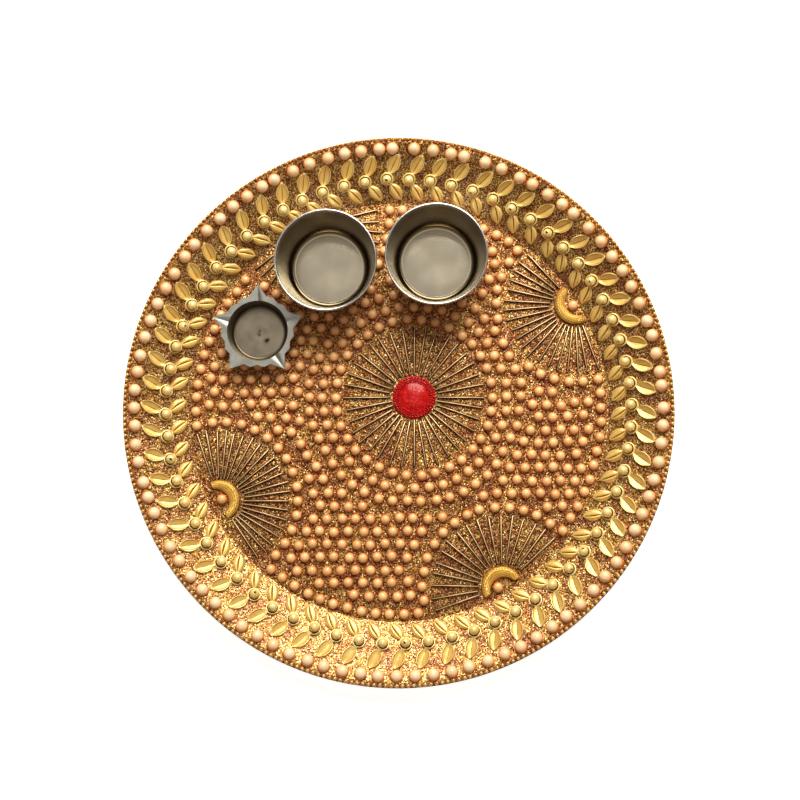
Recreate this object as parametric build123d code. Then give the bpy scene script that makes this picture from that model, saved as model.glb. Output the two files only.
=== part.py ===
from build123d import *
import math
import os

import numpy as np

# Puja thali, in millimetres. The origin is the middle of the tray's underside,
# +Z is up, and +Y points to the side where the bowls stand.

# Steel tray and its glitter covering
plate_radius = 152.4      # over the wrapped rim
plate_sheet = 0.8
wall_slope = 24.0         # degrees above flat
wall_run = 31.4           # width of the sloping wall, seen from above
rim_flat = 3.0            # flat on top of the rim
rim_round = 0.9           # rounding of the rim's corners
hem_drop = 2.8            # turned-down edge of the steel
glitter_sheet = 0.5
wrap_drop = 2.4           # glitter wrapped down the outside
floor_overlap = 0.05      # floor sheet reaching under the wall band

# Ball chain on the rim
chain_inset = 1.4         # ring of balls, in from the outer edge
chain_ball = 2.0
chain_gap = 1.08
chain_thread = 0.6
thread_clearance = 0.02
chain_shift = 0.3         # the ring is laid a little to the back

# Half pearls
rim_pearl = 7.2
rim_pearl_inset = 6.0     # ring of rim pearls, in from the outer edge
rim_pearl_gap = 2.8
rim_pearl_sink = 0.4      # flat back below the middle of the ball
rim_pearl_slide = 4.0     # most that a rim pearl slides aside to clear the leaves
slide_step = 0.25
leaf_clearance = 0.15     # leaves to the rim pearls
leaf_samples = 24         # points along each side of a leaf that the pearls keep clear of
field_pearl = 6.1
field_pearl_sink = 0.55
field_pitch = 7.9
wall_margin = 1.0         # bare strip between the field pearls and the wall
hugging_rows = 3          # field rows that follow the medallion
row_pitch = 0.9           # row to row, as a share of the pitch along a row
settle_steps = 80         # easing of the field pearls into even places
settle_push = 0.2
settle_reach = 1.03

# Leaf sprigs, each a long leaf, a cup and a short leaf in one stamping
sprig_pitch = 12.6
sprig_rise = 12.4         # ring of cups, out from the foot of the wall
sprig_shift = (0.0, 0.4)  # the ring is laid a little to the back
sprig_first = -0.4        # bearing of the first sprig, in degrees
sprig_drift = 1.5         # degrees by which the sprigs crowd together on one side
sprig_crowd = 45.5        # bearing where they stand closest
outer_lean = 27.0         # degrees from straight up the wall
inner_lean = 33.0
outer_leaf = (12.8, 7.4)  # length and width
inner_leaf = (11.8, 6.8)
leaf_start = 2.6          # leaf root, out from the middle of the cup
leaf_height = 1.9
leaf_draft = 8.0
leaf_rim = 0.5
leaf_valley = 1.35        # depth of the hollow along the leaf
cup_radius = 3.75
cup_pocket = 3.0
cup_height = 1.7
cup_floor = 0.5
leaf_bead = 5.4
bead_bore = 1.5
upright_share = 0.15      # share of beads glued with the hole upwards
upright_lean = (0.0, 25.0)
lying_lean = (55.0, 90.0)

# Medallion in the middle of the floor
medallion_middle = (9.2, 7.0)
stone_radius = 12.0
stone_base = 1.0
stone_dome_radius = 9.6
stone_dome_height = 2.4
stone_dot = 1.5
stone_dot_pitch = 1.65
stone_edge = 0.1          # bare edge outside the dots
ray_count = 36

# Pipe beads of the medallion and the fans
pipe_diameter = 1.4
pipe_bore = 0.5
pipe_length = 26.0
ray_start = 13.4
ray_turn = 0.1            # wander of a ray, as a share of the step between rays

# Fans at the foot of the wall: bearing from the middle, inset from the foot, rays and their spread,
# then the pearl's gap to the half moon and its step to one side
right_fan = (30.7, 1.8, 19, 156.0, 0.6, 0.0)
back_fan = (115.1, 1.8, 18, 156.0, 0.45, 0.0)
left_fan = (207.0, 5.8, 22, 164.0, 0.45, 0.0)
front_fan = (300.4, 3.6, 17, 156.0, 0.45, -2.0)
fans = (right_fan, back_fan, left_fan, front_fan)
crescent_radius = 11.6
crescent_width = 6.6
crescent_horn = 4.6       # width at the blunt ends
crescent_height = 2.6
crescent_round = 1.0
crescent_reach = 0.8      # how far the ends pass the half circle

# Loose vessels: the left bowl stands in from the foot of the wall, the others beside it
left_bowl_bearing = 115.8
left_bowl_gap = 1.2
right_bowl_bearing = 2.9
right_bowl_gap = 4.1
diya_bearing = 223.0
diya_gap = 4.8            # bowl to the rounds between the tips
bowl_radius = 28.2
bowl_base = 22.2
bowl_height = 27.0
bowl_corner = 3.0
bowl_bead = 1.3
vessel_sheet = 0.7
diya_radius = 17.0
diya_base = 15.6
diya_height = 9.6
diya_corner = 2.6
diya_tips = 5
diya_turn = 90.0          # bearing of the first tip
diya_tip_radius = 26.2
diya_shoulder = 19.9
diya_scallop = 20.6
diya_valley = 19.0
wick_width = 8.2
wick_depth = 1.7
wick_root = 0.8           # inner end of a channel, as a share of the cup's radius
wick_point = 0.08         # channel at the tip, as a share of its root

# Fits and hand work
glue_line = 0.12
rest_gap = 0.06
hand_wander = 0.5         # sideways wander of hand-laid pieces
hand_turn = 2.5           # wander of their direction, in degrees

slope = math.radians(wall_slope)
floor_top = plate_sheet + glitter_sheet
floor_radius = plate_radius - rim_flat - wall_run
rim_top = floor_top + wall_run * math.tan(slope)
field_pearl_height = field_pearl / 2 + field_pearl_sink
vessel_floor = floor_top + field_pearl_height + rest_gap
ray_end = ray_start + pipe_length
standing = (Align.CENTER, Align.CENTER, Align.MIN)


# Point at a bearing and distance from another, seen from above
def away(start, bearing, distance):
    angle = math.radians(bearing)
    return start[0] + distance * math.cos(angle), start[1] + distance * math.sin(angle)


# Radius of the line that runs a given depth under the wall's face, at a height
def wall_line(depth, height):
    return floor_radius + (height - floor_top + depth / math.cos(slope)) / math.tan(slope)


# Flat outline from (radius, height) points, with chosen corners rounded
def section(points, rounds=()):
    outline = make_face(Polyline(*points, close=True))
    for corner, radius in rounds:
        nearest = outline.vertices().sort_by_distance(Vector(*corner))[0]
        outline = fillet(nearest, radius)
    return outline


# Solid of revolution about the upright axis
def turned(outline):
    return revolve(Plane.XZ * outline, Axis.Z)


# Place on the floor, turned about the vertical
def floor_seat(x, y, turn=0.0, lift=0.0):
    return Pos(x, y, floor_top + lift) * Rot(0, 0, turn)


# Height of the wall's face
def wall_height(x, y):
    return floor_top + (math.hypot(x, y) - floor_radius) * math.tan(slope)


# Place on the wall: local X runs up the slope and local Z stands off it
def wall_seat(x, y, turn=0.0, lift=0.0):
    bearing = math.degrees(math.atan2(y, x))
    tilt = Rot(0, 0, bearing) * Rot(0, -wall_slope, 0)
    return Pos(x, y, wall_height(x, y)) * tilt * Pos(0, 0, lift) * Rot(0, 0, turn)


# Separate copies of one piece, grouped
def copies(piece, seats):
    return Compound(children=[piece.moved(seat) for seat in seats])


# Even wander in the range -1 to 1, the same on every build
def wander(seed, rows, columns):
    return np.random.default_rng(seed).uniform(-1.0, 1.0, (rows, columns))


def thali_plate():
    crest = rim_top - glitter_sheet
    outside = plate_radius - glitter_sheet
    under = glitter_sheet + plate_sheet
    rim_inside = (wall_line(glitter_sheet, crest), crest)
    rim_outside = (outside, crest)
    points = [
        (0, 0),
        (wall_line(under, 0), 0),
        (wall_line(under, crest - plate_sheet), crest - plate_sheet),
        (outside - plate_sheet, crest - plate_sheet),
        (outside - plate_sheet, rim_top - hem_drop),
        (outside, rim_top - hem_drop),
        rim_outside,
        rim_inside,
        (wall_line(glitter_sheet, plate_sheet), plate_sheet),
        (0, plate_sheet),
    ]
    bend = rim_round - glitter_sheet
    return turned(section(points, [(rim_outside, bend), (rim_inside, bend)]))


def floor_glitter_sheet():
    sheet = Cylinder(floor_radius + floor_overlap, glitter_sheet, align=standing)
    return Pos(0, 0, plate_sheet) * sheet


def wall_glitter_band():
    crest = rim_top - glitter_sheet
    outside = plate_radius - glitter_sheet
    face_inside = (wall_line(0, rim_top), rim_top)
    face_outside = (plate_radius, rim_top)
    back_inside = (wall_line(glitter_sheet, crest), crest)
    back_outside = (outside, crest)
    points = [
        (floor_radius, floor_top),
        face_inside,
        face_outside,
        (plate_radius, rim_top - wrap_drop),
        (outside, rim_top - wrap_drop),
        back_outside,
        back_inside,
        (wall_line(glitter_sheet, floor_top), floor_top),
    ]
    bend = rim_round - glitter_sheet
    face_rounds = [(face_inside, rim_round), (face_outside, rim_round)]
    back_rounds = [(back_outside, bend), (back_inside, bend)]
    return turned(section(points, face_rounds + back_rounds))


# Middle of the chain's ring: height, radius and number of balls
def chain_ring():
    height = rim_top + chain_ball / 2 + thread_clearance
    radius = plate_radius - chain_inset
    count = round(2 * math.pi * radius / (chain_ball + chain_gap))
    return height, radius, count


def rim_chain_thread():
    height, radius, count = chain_ring()
    return Pos(0, chain_shift, height) * Torus(radius, chain_thread / 2)


def rim_chain_balls():
    height, radius, count = chain_ring()
    bore = Cylinder(chain_thread / 2 + thread_clearance, 2 * chain_ball)
    ball = Rot(90, 0, 0) * (Sphere(chain_ball / 2) - bore)
    ring = Pos(0, chain_shift, height)
    seats = [ring * Rot(0, 0, 360 * k / count) * Pos(radius, 0, 0) for k in range(count)]
    return copies(ball, seats)


# Ball with a flat back; sink is how far the back lies below the middle
def half_pearl(diameter, sink):
    ball = Pos(0, 0, sink) * Sphere(diameter / 2)
    return split(ball, Plane.XY, keep=Keep.TOP)


# Points along the sides of every long leaf
def leaf_sides():
    share = np.linspace(0.0, 1.0, leaf_samples)
    sides = [side @ t for side in marquise(*outer_leaf).edges() for t in share]
    root = Rot(0, 0, -outer_lean) * Pos(leaf_start, 0, 0)
    places = [seat * root * Pos(point) for seat in sprig_seats() for point in sides]
    return np.array([tuple(place.position) for place in places])


# Places of the rim pearls: each slides along the ring until it clears the leaves and the pearls before it
def rim_places():
    sides = leaf_sides()
    ring = plate_radius - rim_pearl_inset
    count = round(2 * math.pi * ring / (rim_pearl + rim_pearl_gap))
    slides = sorted(np.arange(-rim_pearl_slide, rim_pearl_slide + slide_step, slide_step), key=abs)
    places = []
    for k, (along, across) in enumerate(wander(12, count, 2)):
        for slide in slides:
            turn = math.degrees((hand_wander * along + slide) / ring)
            x, y = away((0, 0), 360 * k / count + turn, ring + hand_wander / 2 * across)
            place = np.array([x, y, wall_height(x, y)])
            clear = np.linalg.norm(sides - place, axis=1).min() > rim_pearl / 2 + leaf_clearance
            if clear and all(np.linalg.norm(place - other) > rim_pearl + glue_line for other in places):
                places.append(place)
                break
    return places


def rim_pearls():
    seats = [wall_seat(x, y, lift=glue_line) for x, y, z in rim_places()]
    return copies(half_pearl(rim_pearl, rim_pearl_sink), seats)


# Pointed oval from the origin along +X
def marquise(length, width):
    right_side = ThreePointArc((0, 0), (length / 2, -width / 2), (length, 0))
    left_side = ThreePointArc((length, 0), (length / 2, width / 2), (0, 0))
    return make_face([right_side, left_side])


# Leaf with a raised rim and a V-shaped hollow along its length
def leaf(length, width):
    body = extrude(marquise(length, width), leaf_height, taper=leaf_draft)
    inset = 3 * leaf_rim
    half = width / 2 - leaf_rim
    valley = Polyline((half, leaf_height), (-half, leaf_height), (0, leaf_height - leaf_valley), close=True)
    trough = extrude(Plane.YZ * make_face(valley), length)
    inside = extrude(Pos(inset, 0, 0) * marquise(length - 2 * inset, 2 * half), leaf_height)
    return body - (trough & inside)


def leaf_sprig():
    cup = Cylinder(cup_radius, cup_height, align=standing)
    long_leaf = Rot(0, 0, -outer_lean) * Pos(leaf_start, 0, 0) * leaf(*outer_leaf)
    short_leaf = Rot(0, 0, 180 + inner_lean) * Pos(leaf_start, 0, 0) * leaf(*inner_leaf)
    pocket = Pos(0, 0, cup_floor) * Cylinder(cup_pocket, leaf_height, align=standing)
    return (cup + long_leaf + short_leaf) - pocket


# Places of the sprigs round the wall
def sprig_seats():
    radius = floor_radius + sprig_rise
    count = round(2 * math.pi * radius / sprig_pitch)
    seats = []
    for k, (along, across, turn) in enumerate(wander(23, count, 3)):
        even = sprig_first + 360 * k / count
        drift = sprig_drift * math.sin(math.radians(sprig_crowd - even))
        bearing = even + drift + math.degrees(hand_wander / 2 * along / radius)
        x, y = away(sprig_shift, bearing, radius + hand_wander / 2 * across)
        seats.append(wall_seat(x, y, hand_turn * turn, glue_line))
    return seats


def leaf_sprigs():
    return copies(leaf_sprig(), sprig_seats())


def leaf_beads():
    bead = Sphere(leaf_bead / 2) - Cylinder(bead_bore / 2, 2 * leaf_bead)
    seats = []
    chance = (wander(37, len(sprig_seats()), 3) + 1) / 2
    for seat, (upright, tip, spin) in zip(sprig_seats(), chance):
        least, most = upright_lean if upright < upright_share else lying_lean
        lean = least + (most - least) * tip
        middle = Pos(0, 0, cup_floor + leaf_bead / 2 + rest_gap)
        seats.append(seat * middle * Rot(0, 0, 360 * spin) * Rot(0, lean, 0))
    return copies(bead, seats)


# Hub of a fan on the floor
def fan_hub(fan):
    bearing, inset = fan[:2]
    return away((0, 0), bearing, floor_radius - inset)


# Nearest ring of pearl middles round a hub, and the outermost ring inside the wall
pearl_margin = field_pearl / 2 + hand_wander
hub_ring = ray_end + 2 * hand_wander + pearl_margin
wall_ring = floor_radius - wall_margin - field_pearl / 2


# Pearl middles pushed off the medallion and the fans and back inside the wall
def kept_clear(points):
    hubs = [(medallion_middle, (0.0, 0.0))]
    for fan in fans:
        hubs.append((fan_hub(fan), fan_hub(fan)))
    for middle, outward in hubs:
        away = points - np.array(middle)
        distance = np.hypot(away[:, 0], away[:, 1]) + 1e-9
        inside = (distance < hub_ring) & (away @ np.array(outward) <= pearl_margin * np.hypot(*outward))
        points[inside] += (away * ((hub_ring - distance) / distance)[:, None])[inside]
    radius = np.hypot(points[:, 0], points[:, 1])
    return points * np.minimum(1.0, wall_ring / radius)[:, None]


# Points a pitch apart on a circle
def circle_row(middle, radius):
    count = int(2 * math.pi * radius / field_pitch)
    angle = 2 * math.pi * np.arange(count) / count
    return np.stack([middle[0] + radius * np.cos(angle), middle[1] + radius * np.sin(angle)], axis=1)


# Staggered rows over the whole floor
def straight_rows():
    across = np.arange(-floor_radius, floor_radius, field_pitch)
    rows = np.arange(-floor_radius, floor_radius, row_pitch * field_pitch)
    return np.array([(x + field_pitch / 2 * (k % 2), y) for k, y in enumerate(rows) for x in across])


# Middles of the field pearls: rows along every edge first, then straight rows in what is left,
# all eased apart until they fill the free floor evenly
def field_points():
    rows = [circle_row((0, 0), wall_ring)]
    step = row_pitch * field_pitch
    rows += [circle_row(medallion_middle, hub_ring + k * step) for k in range(hugging_rows)]
    rows += [circle_row(fan_hub(fan), hub_ring) for fan in fans]
    points = np.concatenate(rows + [straight_rows()])
    moved = kept_clear(points.copy()) - points
    points = points[np.hypot(moved[:, 0], moved[:, 1]) < hand_wander]
    points = np.array(spaced(points, row_pitch**2 * field_pitch))
    for ease in range(settle_steps):
        apart = points[:, None] - points[None]
        distance = np.hypot(apart[..., 0], apart[..., 1]) + np.eye(len(points)) * 2 * field_pitch
        push = np.clip(settle_reach * field_pitch / np.maximum(distance, 1e-6) - 1, 0, 1)
        points = kept_clear(points + settle_push * (apart * push[..., None]).sum(axis=1))
    points = kept_clear(points + hand_wander * wander(53, len(points), 2))
    return spaced(points, field_pearl + glue_line)


# Points that keep a given distance from every point before them
def spaced(points, distance):
    chosen = []
    for point in points:
        if all(np.hypot(*(point - other)) >= distance for other in chosen):
            chosen.append(point)
    return chosen


def field_pearls():
    seats = [floor_seat(x, y) for x, y in field_points()]
    return copies(half_pearl(field_pearl, field_pearl_sink), seats)


def centre_stone():
    base = Cylinder(stone_radius, stone_base, align=standing)
    ball_radius = (stone_dome_radius**2 + stone_dome_height**2) / (2 * stone_dome_height)
    ball = Pos(0, 0, stone_base + stone_dome_height - ball_radius) * Sphere(ball_radius)
    dome = split(ball, Plane.XY.offset(stone_base / 2), keep=Keep.TOP)
    dome = dome & Cylinder(stone_dome_radius, 2 * (stone_base + stone_dome_height))
    ring = stone_radius - stone_dot / 2 - stone_edge
    count = round(2 * math.pi * ring / stone_dot_pitch)
    dot = Pos(ring, 0, stone_base) * Sphere(stone_dot / 2)
    stone = base + dome + [Rot(0, 0, 360 * k / count) * dot for k in range(count)]
    return floor_seat(*medallion_middle) * stone


# Pipe bead lying along +X, its underside at height 0
def pipe_bead():
    pipe = Cylinder(pipe_diameter / 2, pipe_length) - Cylinder(pipe_bore / 2, pipe_length)
    return Pos(pipe_length / 2, 0, pipe_diameter / 2) * Rot(0, 90, 0) * pipe


# Rays of pipe beads about a hub, at the given bearings
def rays(hub, bearings, step, seed):
    seats = []
    for bearing, (turn, along) in zip(bearings, wander(seed, len(bearings), 2)):
        seat = floor_seat(*hub, bearing + ray_turn * step * turn, glue_line)
        seats.append(seat * Pos(ray_start + 2 * hand_wander * along, 0, 0))
    return copies(pipe_bead(), seats)


def medallion_pipes():
    step = 360 / ray_count
    return rays(medallion_middle, [step * k for k in range(ray_count)], step, 71)


def fan_pipes(fan, seed):
    bearing, inset, count, spread = fan[:4]
    step = spread / (count - 1)
    inward = bearing + 180
    return rays(fan_hub(fan), [inward - spread / 2 + step * k for k in range(count)], step, seed)


# Inner circle of the half moon: its radius, and its middle's distance from the hub
def moon_hollow():
    deep = crescent_radius - crescent_width
    wide = crescent_radius - crescent_horn
    radius = (wide**2 / deep + deep) / 2
    return radius, radius - deep


# Half moon about the hub, open towards +X
def crescent():
    hollow, offset = moon_hollow()
    moon = Circle(crescent_radius) - Pos(offset, 0) * Circle(hollow)
    half = Pos(crescent_reach - crescent_radius, 0) * Rectangle(2 * crescent_radius, 3 * crescent_radius)
    block = extrude(moon & half, crescent_height)
    top = block.faces().sort_by(Axis.Z)[-1]
    return fillet(top.edges(), crescent_round)


def fan_crescent(fan):
    return floor_seat(*fan_hub(fan), fan[0]) * crescent()


# One pearl in the hollow of each half moon
def fan_pearls():
    hollow, offset = moon_hollow()
    seats = []
    for fan in fans:
        gap, aside = fan[4:]
        reach = hollow - gap - field_pearl / 2
        place = Pos(offset - math.sqrt(reach**2 - aside**2), aside, 0)
        seats.append(floor_seat(*fan_hub(fan), fan[0]) * place)
    return copies(half_pearl(field_pearl, field_pearl_sink), seats)


# Half section of a thin round cup with sloping sides and a rounded bottom corner
def cup_section(base, rim, height, corner):
    side = (rim - base) / height
    across = vessel_sheet * math.hypot(1, side)
    inner_base = (base + side * vessel_sheet - across, vessel_sheet)
    inner_rim = (rim - across, height)
    outside = section([(0, 0), (base, 0), (rim, height), (0, height)], [((base, 0), corner)])
    hollow = [(0, vessel_sheet), inner_base, inner_rim, (0, height)]
    return outside - section(hollow, [(inner_base, corner - vessel_sheet)])


# Bowl with a rolled rim, standing on the pearls
def bowl(middle):
    bead = bowl_bead / 2
    wall = cup_section(bowl_base, bowl_radius - bead + vessel_sheet / 2, bowl_height - bead, bowl_corner)
    rolled_rim = Pos(bowl_radius - bead, bowl_height - bead) * Circle(bead)
    return Pos(*middle, vessel_floor) * turned(wall + rolled_rim)


# Star-shaped brim seen from above
def star_outline():
    sector = 360 / diya_tips
    shape = (
        (0.0, diya_tip_radius),
        (0.2, diya_shoulder),
        (0.35, diya_scallop),
        (0.5, diya_valley),
        (0.65, diya_scallop),
        (0.8, diya_shoulder),
    )
    corners = []
    for tip in range(diya_tips):
        for share, radius in shape:
            angle = math.radians(diya_turn + sector * (tip + share))
            corners.append((radius * math.cos(angle), radius * math.sin(angle)))
    return make_face(Polyline(*corners, close=True))


# V-shaped wick channel that narrows from the cup to a tip on +X
def wick_wedge(grow):
    ends = []
    for distance, scale in ((wick_root * diya_radius, 1.0), (diya_tip_radius, wick_point)):
        half = scale * wick_width / 2 + grow
        low = -scale * wick_depth - grow
        corners = [(-half, vessel_sheet), (half, vessel_sheet), (half, 0), (0, low), (-half, 0)]
        ends.append(Plane.YZ.offset(distance) * make_face(Polyline(*corners, close=True)))
    return loft(ends, ruled=True)


def star_diya(middle):
    shell = turned(cup_section(diya_base, diya_radius + vessel_sheet, diya_height, diya_corner))
    well = Cylinder(diya_radius, 3 * diya_height)
    brim = Pos(0, 0, diya_height - vessel_sheet) * (extrude(star_outline(), vessel_sheet) - well)
    lamp = shell + brim
    for tip in range(diya_tips):
        seat = Rot(0, 0, diya_turn + 360 / diya_tips * tip) * Pos(0, 0, diya_height - vessel_sheet)
        channel = seat * (wick_wedge(vessel_sheet / 2) - well)
        lamp = lamp + channel - seat * Pos(0, 0, vessel_sheet) * wick_wedge(0)
    return Pos(*middle, vessel_floor) * lamp


left_bowl_middle = away((0, 0), left_bowl_bearing, floor_radius - bowl_radius - left_bowl_gap)
right_bowl_middle = away(left_bowl_middle, right_bowl_bearing, 2 * bowl_radius + right_bowl_gap)
diya_middle = away(left_bowl_middle, diya_bearing, bowl_radius + diya_scallop + diya_gap)

nodes = {
    "thali_plate": thali_plate(),
    "floor_glitter_sheet": floor_glitter_sheet(),
    "wall_glitter_band": wall_glitter_band(),
    "rim_chain_thread": rim_chain_thread(),
    "rim_chain_balls": rim_chain_balls(),
    "rim_pearls": rim_pearls(),
    "leaf_sprigs": leaf_sprigs(),
    "leaf_beads": leaf_beads(),
    "field_pearls": field_pearls(),
    "centre_stone": centre_stone(),
    "medallion_pipes": medallion_pipes(),
    "right_fan_pipes": fan_pipes(right_fan, 81),
    "back_fan_pipes": fan_pipes(back_fan, 82),
    "left_fan_pipes": fan_pipes(left_fan, 83),
    "front_fan_pipes": fan_pipes(front_fan, 84),
    "right_fan_crescent": fan_crescent(right_fan),
    "back_fan_crescent": fan_crescent(back_fan),
    "left_fan_crescent": fan_crescent(left_fan),
    "front_fan_crescent": fan_crescent(front_fan),
    "fan_pearls": fan_pearls(),
    "left_bowl": bowl(left_bowl_middle),
    "right_bowl": bowl(right_bowl_middle),
    "star_diya": star_diya(diya_middle),
}
os.makedirs("parts", exist_ok=True)
for name, shape in nodes.items():
    export_step(shape, f"parts/{name}.step")
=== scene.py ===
import bpy
import bmesh
import math
import numpy as np
from mathutils import Matrix, Vector


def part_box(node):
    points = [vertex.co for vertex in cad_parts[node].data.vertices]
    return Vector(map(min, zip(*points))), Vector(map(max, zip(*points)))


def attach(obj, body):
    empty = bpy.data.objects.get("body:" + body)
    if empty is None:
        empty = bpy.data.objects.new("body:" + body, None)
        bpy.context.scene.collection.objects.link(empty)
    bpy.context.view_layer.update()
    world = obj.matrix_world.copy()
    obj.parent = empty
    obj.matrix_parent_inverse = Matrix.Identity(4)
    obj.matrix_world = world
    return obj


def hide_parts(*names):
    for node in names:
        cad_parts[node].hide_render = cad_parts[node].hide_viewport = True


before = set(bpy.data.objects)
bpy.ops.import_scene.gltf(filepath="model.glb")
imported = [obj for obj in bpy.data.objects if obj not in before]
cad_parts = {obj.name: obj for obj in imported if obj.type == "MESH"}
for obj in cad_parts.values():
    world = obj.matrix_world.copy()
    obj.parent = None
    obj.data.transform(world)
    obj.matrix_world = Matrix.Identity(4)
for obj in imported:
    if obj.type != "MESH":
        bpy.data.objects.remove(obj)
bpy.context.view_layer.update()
scene = bpy.context.scene
mm = 0.001
weld = 2e-6  # points of a mesh closer than this, in metres, become one
chance = np.random.default_rng(7)
print("frame loaded,", len(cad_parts), "nodes")

# lines of the tray that several pieces share, in millimetres
tray = {"radius": 152.4, "floorRadius": 118.0, "floorTop": 1.3, "rimFlat": 3.0, "slope": math.radians(24.0),
        "steel": 0.8, "paper": 0.5, "hem": 2.8, "wrap": 2.4}
wallWidth = tray["radius"] - tray["rimFlat"] - tray["floorRadius"]
tray["rimTop"] = tray["floorTop"] + wallWidth * math.tan(tray["slope"])

# points under a leaf or a half moon, as shares of half its width
underside = np.array([-0.5, 0.0, 0.5])


# quads between neighbouring points of a rows by columns grid; either way may run round on itself
def gridFaces(rows, columns, loopRows=False, loopColumns=True):
    row = np.arange(rows if loopRows else rows - 1)[:, None]
    column = np.arange(columns if loopColumns else columns - 1)[None]
    start = row * columns
    startOn = (row + 1) % rows * columns
    columnOn = (column + 1) % columns
    corners = (start + column, start + columnOn, startOn + columnOn, startOn + column)
    return np.stack(np.broadcast_arrays(*corners), axis=-1).reshape(-1, 4)


# angles of a full turn in even steps
def fullTurn(count):
    return np.linspace(0, 2 * np.pi, count, endpoint=False)


# points at a reach, an angle and a height about the upright axis
def polar(reach, angle, height):
    return np.stack([reach * np.cos(angle), reach * np.sin(angle), height + 0 * reach * angle], axis=-1)


# each (radius, height) point of a profile carried round the upright axis
def turned(profile, columns, loopRows=False):
    profile = np.asarray(profile, float)
    angle = fullTurn(columns)[None]
    points = polar(profile[:, :1], angle, profile[:, 1:])
    return points.reshape(-1, 3), gridFaces(len(profile), columns, loopRows)


# straight runs with rounded corners: between points a setback away on both runs, the corner is a parabola
def roundedLine(points, setbacks, steps=6):
    points = np.asarray(points, float)
    share = np.linspace(0, 1, steps)[:, None]
    line = [points[:1]]
    for before, corner, after, setback in zip(points[:-2], points[1:-1], points[2:], setbacks):
        into = corner + (before - corner) * setback / np.hypot(*(before - corner))
        out = corner + (after - corner) * setback / np.hypot(*(after - corner))
        arc = (1 - share) ** 2 * into + 2 * share * (1 - share) * corner + share ** 2 * out
        line.append(arc if setback else corner[None])
    return np.concatenate(line + [points[-1:]])


# several shapes as one: the points follow each other and the faces count on
def joined(*shapes):
    starts = np.cumsum([0] + [len(points) for points, faces in shapes[:-1]])
    faces = np.concatenate([faces + start for (points, faces), start in zip(shapes, starts)])
    return np.concatenate([points for points, faces in shapes]), faces


# one shape set down at many seats: every copy is its origin plus its frame times the shape's points
def setDown(shape, origins, frames):
    points, faces = shape
    placed = origins[:, None] + np.einsum("nij,pj->npi", frames, points)
    starts = np.arange(len(origins))[:, None, None] * len(points)
    return placed.reshape(-1, 3), (faces[None] + starts).reshape(-1, faces.shape[1])


# frames on the sloping wall: up the slope, along the wall and straight off it, turned by an angle about
# the last
def wallFrames(origins, turns):
    outward = origins * (1, 1, 0)
    outward = outward / np.linalg.norm(outward, axis=1, keepdims=True)
    upright = np.array([[0, 0, 1.0]])
    uphill = math.cos(tray["slope"]) * outward + math.sin(tray["slope"]) * upright
    off = math.cos(tray["slope"]) * upright - math.sin(tray["slope"]) * outward
    along = np.cross(off, uphill)
    cosine, sine = np.cos(turns)[:, None], np.sin(turns)[:, None]
    return np.stack([cosine * uphill + sine * along, cosine * along - sine * uphill, off], axis=-1)


# frames that stand upright, turned by an angle
def floorFrames(turns):
    cosine, sine, zero = np.cos(turns), np.sin(turns), 0 * turns
    cells = [cosine, -sine, zero, sine, cosine, zero, zero, zero, zero + 1]
    return np.stack(cells, axis=-1).reshape(-1, 3, 3)


# one shape stood upright at a place, turned by an angle
def stoodAt(shape, place, turn=0.0):
    return setDown(shape, place[None], floorFrames(np.array([turn])))


# frames whose third axis is given; the first is level but for a hair, so that an upright axis has one too
def axisFrames(axes):
    hair = 1e-3 * np.array([[1.0, 0.7, 0.0]])
    level = np.cross(np.array([[0.0, 0.0, 1.0]]) + hair, axes)
    level = level / np.linalg.norm(level, axis=1, keepdims=True)
    return np.stack([level, np.cross(axes, level), axes], axis=-1)


# corners and triangles of a node of the frame in millimetres, corners at one place merged, and the solid that
# each corner is in: every corner takes the lowest number that its edges lead to, until nothing changes
def solidsOf(nodeName):
    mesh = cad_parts[nodeName].data
    corners = np.empty(len(mesh.vertices) * 3, np.float32)
    mesh.vertices.foreach_get("co", corners)
    mesh.calc_loop_triangles()
    triangles = np.empty(len(mesh.loop_triangles) * 3, np.int32)
    mesh.loop_triangles.foreach_get("vertices", triangles)
    rounded = np.round(corners.reshape(-1, 3) / mm, decimals=3)
    places, merged = np.unique(rounded, axis=0, return_inverse=True)
    triangles = merged.reshape(-1)[triangles.reshape(-1, 3)]
    edges = np.concatenate([triangles[:, :2], triangles[:, 1:]])
    number = np.arange(len(places))
    settled = False
    while not settled:
        lowest = number[edges].min(axis=1)
        spread = number.copy()
        np.minimum.at(spread, edges[:, 0], lowest)
        np.minimum.at(spread, edges[:, 1], lowest)
        spread = spread[spread]
        settled = np.array_equal(spread, number)
        number = spread
    solid = np.unique(number, return_inverse=True)[1].reshape(-1)
    return places.astype(float), triangles, solid


# corners of each of a node's solids by itself
def apart(nodeName):
    places, triangles, solid = solidsOf(nodeName)
    order = np.argsort(solid, kind="stable")
    return np.split(places[order], np.cumsum(np.bincount(solid))[:-1])


# middle of each of a node's solids: halfway between its least and its greatest corner
def middlesOf(nodeName):
    return np.array([(points.min(axis=0) + points.max(axis=0)) / 2 for points in apart(nodeName)])


# long way of some points about a middle: the direction in which they spread most
def longWay(points, middle):
    return np.linalg.svd(points - middle, full_matrices=False)[2][0]


# soft line: one at its middle, falling off on both sides as a bell of the given width
def softLine(place, middle, width):
    return np.exp(-((place - middle) / width) ** 2)


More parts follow.
